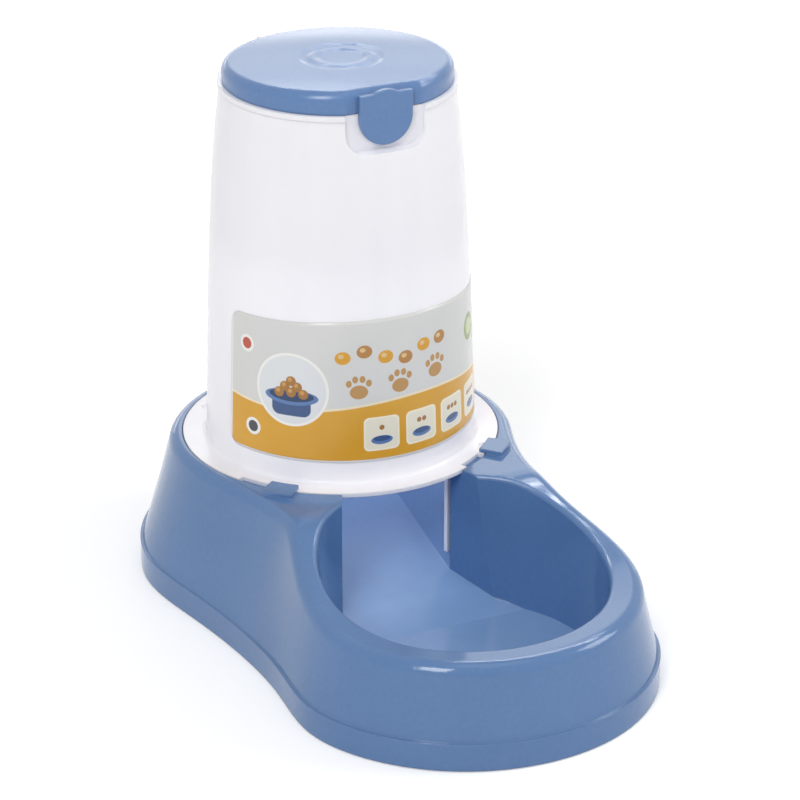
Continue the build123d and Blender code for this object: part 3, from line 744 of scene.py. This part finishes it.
def print_ground(tree, cloud, across, upward):
    """Grey above, an ochre band with a wavy top below, and a cream line between them."""
    grey = add(tree, "ShaderNodeMix", {0: cloud, 6: paint("D6D7D6"), 7: paint("E0DFDC")}, data_type="RGBA")
    ochre = add(tree, "ShaderNodeMix", {0: cloud, 6: paint("D99C26"), 7: paint("E2AC3A")}, data_type="RGBA")
    turned = add(tree, "ShaderNodeMath", {0: across, 1: crest_turn, 2: crest_start},
                 operation="MULTIPLY_ADD").outputs[0]
    swell = add(tree, "ShaderNodeMath", {0: turned}, operation="SINE").outputs[0]
    band_top = add(tree, "ShaderNodeMath", {0: swell, 1: crest_height, 2: band_height},
                   operation="MULTIPLY_ADD").outputs[0]
    above = add(tree, "ShaderNodeMath", {0: upward, 1: band_top}, operation="SUBTRACT").outputs[0]
    colour = ink_over(tree, grey.outputs[2], above, ochre.outputs[2])
    either_way = add(tree, "ShaderNodeMath", {0: above}, operation="ABSOLUTE").outputs[0]
    line = add(tree, "ShaderNodeMath", {0: either_way, 1: line_half_width}, operation="SUBTRACT").outputs[0]
    return ink_over(tree, colour, line, paint("F3E7C8"))


def leave_hems(tree, colour, across, upward):
    """Leave a bare hem along both ends and the foot, so that the cut need not be exact."""
    from_middle = add(tree, "ShaderNodeMath", {0: across}, operation="ABSOLUTE").outputs[0]
    inward = add(tree, "ShaderNodeMath", {0: sheet_half - side_hem, 1: from_middle},
                 operation="SUBTRACT").outputs[0]
    colour = ink_over(tree, colour, inward, paint(bare_film))
    raised = add(tree, "ShaderNodeMath", {0: upward, 1: foot_hem}, operation="SUBTRACT").outputs[0]
    return ink_over(tree, colour, raised, paint(bare_film))


print("band is about", band_height, "mm high")

# %% [markdown]
# ## The film's finish
# The film is thin white polypropylene, printed and then varnished. The varnish gives a soft gloss
# that is even over every ink, and film that was rubbed down by hand lies in faint ripples about a
# centimetre long.

# %% The varnished finish
film_ior = 1.5
ripple_length = 9
ripple_depth = 0.05


def printed_film(name):
    """A varnished printed film: its ground, its motifs and its bare hems."""
    finish, tree, shader, place = new_finish(name)
    spot = add(tree, "ShaderNodeAttribute", attribute_name="print_mm",
               attribute_type="GEOMETRY").outputs["Vector"]
    parts = add(tree, "ShaderNodeSeparateXYZ", {0: spot})
    across = parts.outputs["X"]
    upward = parts.outputs["Y"]
    cloud = add(tree, "ShaderNodeTexNoise", {"Vector": place, "Scale": 1 / (cloud_size * MM),
                                             "Detail": 3.0}).outputs["Fac"]
    colour = print_ground(tree, cloud, across, upward)
    for motif in motifs:
        colour = print_motif(tree, spot, colour, motif)
    colour = leave_hems(tree, colour, across, upward)
    ripple = add(tree, "ShaderNodeTexNoise", {"Vector": place, "Scale": 1 / (ripple_length * MM),
                                              "Detail": 1.0})
    bump = add(tree, "ShaderNodeBump", {"Height": ripple.outputs["Fac"], "Distance": ripple_depth * MM,
                                        "Strength": 0.35})
    gloss = add(tree, "ShaderNodeMapRange", {"Value": cloud, "To Min": 0.16, "To Max": 0.22})
    tree.links.new(colour, shader.inputs["Base Color"])
    tree.links.new(bump.outputs[0], shader.inputs["Normal"])
    tree.links.new(gloss.outputs[0], shader.inputs["Roughness"])
    shader.inputs["IOR"].default_value = film_ior
    return finish


film_finish = printed_film("varnished_printed_film")
print("nodes in the print:", len(film_finish.node_tree.nodes))

# %% [markdown]
# ## Make the film
# A tree gives its result only while its modifier is live, so the result is copied into a plain
# mesh. Solidify then gives the bare sheet its thickness outwards, away from the wall that it is
# stuck to.

# %% Wrap the film on the tank
def plain_mesh(name, tree, finish):
    """Run a tree on an empty object and keep the result as a plain mesh object."""
    host = bpy.data.objects.new(name + "_maker", bpy.data.meshes.new(name + "_maker"))
    bpy.context.collection.objects.link(host)
    maker = host.modifiers.new("maker", "NODES")
    maker.node_group = tree
    for socket in tree.interface.items_tree:
        if socket.in_out == "INPUT" and socket.socket_type == "NodeSocketMaterial":
            maker[socket.identifier] = finish
    seen = host.evaluated_get(bpy.context.evaluated_depsgraph_get())
    made = bpy.data.meshes.new_from_object(seen)
    made.name = name
    piece = bpy.data.objects.new(name, made)
    bpy.data.objects.remove(host)
    bpy.context.collection.objects.link(piece)
    print(name, "has", len(made.polygons), "faces")
    return piece


film = plain_mesh("printed_film", film_tree, film_finish)
skin = film.modifiers.new("thickness", "SOLIDIFY")
skin.thickness = sheet_thickness * MM
skin.offset = 1.0
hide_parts("label")
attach(film, "tank_body")

# %% [markdown]
# ## Black rubber
# The pads are pressed from black rubber in a plain steel mould. Rubber is dull, and fine dust
# clings to it and lightens it in soft patches. One noise drives colour, dullness and a faint
# pebbling, so that the paler spots are also the duller ones.

# %% The rubber finish
dust_size = 3
pebble_depth = 0.05


def rubber(name):
    """Black rubber: dull, dusty, faintly pebbled."""
    finish, tree, shader, place = new_finish(name)
    dust = add(tree, "ShaderNodeTexNoise", {"Vector": place, "Scale": 1 / (dust_size * MM),
                                            "Detail": 4.0}).outputs["Fac"]
    tint = add(tree, "ShaderNodeMix", {0: dust, 6: paint("1E1F21"), 7: paint("35363A")}, data_type="RGBA")
    bump = add(tree, "ShaderNodeBump", {"Height": dust, "Distance": pebble_depth * MM, "Strength": 0.5})
    dull = add(tree, "ShaderNodeMapRange", {"Value": dust, "To Min": 0.65, "To Max": 0.9})
    tree.links.new(tint.outputs[2], shader.inputs["Base Color"])
    tree.links.new(dull.outputs[0], shader.inputs["Roughness"])
    tree.links.new(bump.outputs[0], shader.inputs["Normal"])
    return finish


rubber_finish = rubber("black_moulded_rubber")
print("finish:", rubber_finish.name)

# %% [markdown]
# ## The rubber pads
# Each pad is a round disc with raised rings on its sole, which grip a wet floor. A ring is a
# small circle swept along a large one, so the tree makes one pad from a disc and three rings,
# and sets a copy at each of the four seats.

# %% Find the four seats
# The pads are alike, so the box of the last one gives the size of all.
foot_names = ["foot_front_left", "foot_front_right", "foot_rear_left", "foot_rear_right"]
seats = []
for foot in foot_names:
    low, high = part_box(foot)
    seats.append(((low[0] + high[0]) / 2, (low[1] + high[1]) / 2))
pad_radius = (high[0] - low[0]) / 2
pad_height = high[2]
rib_height = 0.45 * MM
print("pads are", round(2 * pad_radius / MM, 1), "mm across")

# %% Make one pad
ring_shares = (0.32, 0.56, 0.80)
round_steps = 64
bead_steps = 10


def one_pad(tree, sizes):
    """A disc, and under it rings of growing size. Gives the joined pad."""
    thick = add(tree, "ShaderNodeMath", {0: sizes["Height"], 1: sizes["Rib"]}, operation="SUBTRACT")
    middle = add(tree, "ShaderNodeMath", {0: sizes["Height"], 1: sizes["Rib"]}, operation="ADD")
    middle = add(tree, "ShaderNodeMath", {0: middle.outputs[0], 1: 0.5}, operation="MULTIPLY")
    disc = add(tree, "GeometryNodeMeshCylinder", {"Vertices": round_steps, "Radius": sizes["Radius"],
                                                  "Depth": thick.outputs[0]})
    lifted = add(tree, "ShaderNodeCombineXYZ", {2: middle.outputs[0]})
    disc = add(tree, "GeometryNodeTransform", {"Geometry": disc.outputs[0], "Translation": lifted.outputs[0]})
    parts = [disc.outputs[0]]
    bead = add(tree, "GeometryNodeCurvePrimitiveCircle", {"Resolution": bead_steps, "Radius": sizes["Rib"]})
    on_sole = add(tree, "ShaderNodeCombineXYZ", {2: sizes["Rib"]})
    for share in ring_shares:
        size = add(tree, "ShaderNodeMath", {0: sizes["Radius"], 1: share}, operation="MULTIPLY")
        ring = add(tree, "GeometryNodeCurvePrimitiveCircle", {"Resolution": round_steps,
                                                              "Radius": size.outputs[0]})
        tube = add(tree, "GeometryNodeCurveToMesh", {"Curve": ring.outputs[0],
                                                     "Profile Curve": bead.outputs[0]})
        tube = add(tree, "GeometryNodeTransform", {"Geometry": tube.outputs[0],
                                                   "Translation": on_sole.outputs[0]})
        parts.append(tube.outputs[0])
    pad = add(tree, "GeometryNodeJoinGeometry")
    for part in parts:
        tree.links.new(part, pad.inputs[0])
    return pad.outputs[0]


print("rings on each sole:", len(ring_shares))

# %% Set the four pads
def pads_tree():
    """The tree: one pad, then a copy on each seat."""
    tree = bpy.data.node_groups.new("rubber_pads", "GeometryNodeTree")
    face = tree.interface
    face.new_socket("Geometry", in_out="OUTPUT", socket_type="NodeSocketGeometry")
    for label, value in (("Radius", pad_radius), ("Height", pad_height), ("Rib", rib_height)):
        socket = face.new_socket(label, in_out="INPUT", socket_type="NodeSocketFloat")
        socket.default_value = value
    face.new_socket("Finish", in_out="INPUT", socket_type="NodeSocketMaterial")
    sizes = add(tree, "NodeGroupInput").outputs
    result = add(tree, "NodeGroupOutput")
    pad = one_pad(tree, sizes)
    copies = add(tree, "GeometryNodeJoinGeometry")
    for x, y in seats:
        spot = add(tree, "GeometryNodePoints", {"Count": 1, "Position": (x, y, 0)})
        tree.links.new(spot.outputs[0], copies.inputs[0])
    placed = add(tree, "GeometryNodeInstanceOnPoints", {"Points": copies.outputs[0], "Instance": pad})
    real = add(tree, "GeometryNodeRealizeInstances", {0: placed.outputs[0]})
    painted = add(tree, "GeometryNodeSetMaterial", {"Geometry": real.outputs[0], "Material": sizes["Finish"]})
    tree.links.new(painted.outputs[0], result.inputs[0])
    return tree


pads = plain_mesh("rubber_pads", pads_tree(), rubber_finish)
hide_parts(*foot_names)
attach(pads, "base")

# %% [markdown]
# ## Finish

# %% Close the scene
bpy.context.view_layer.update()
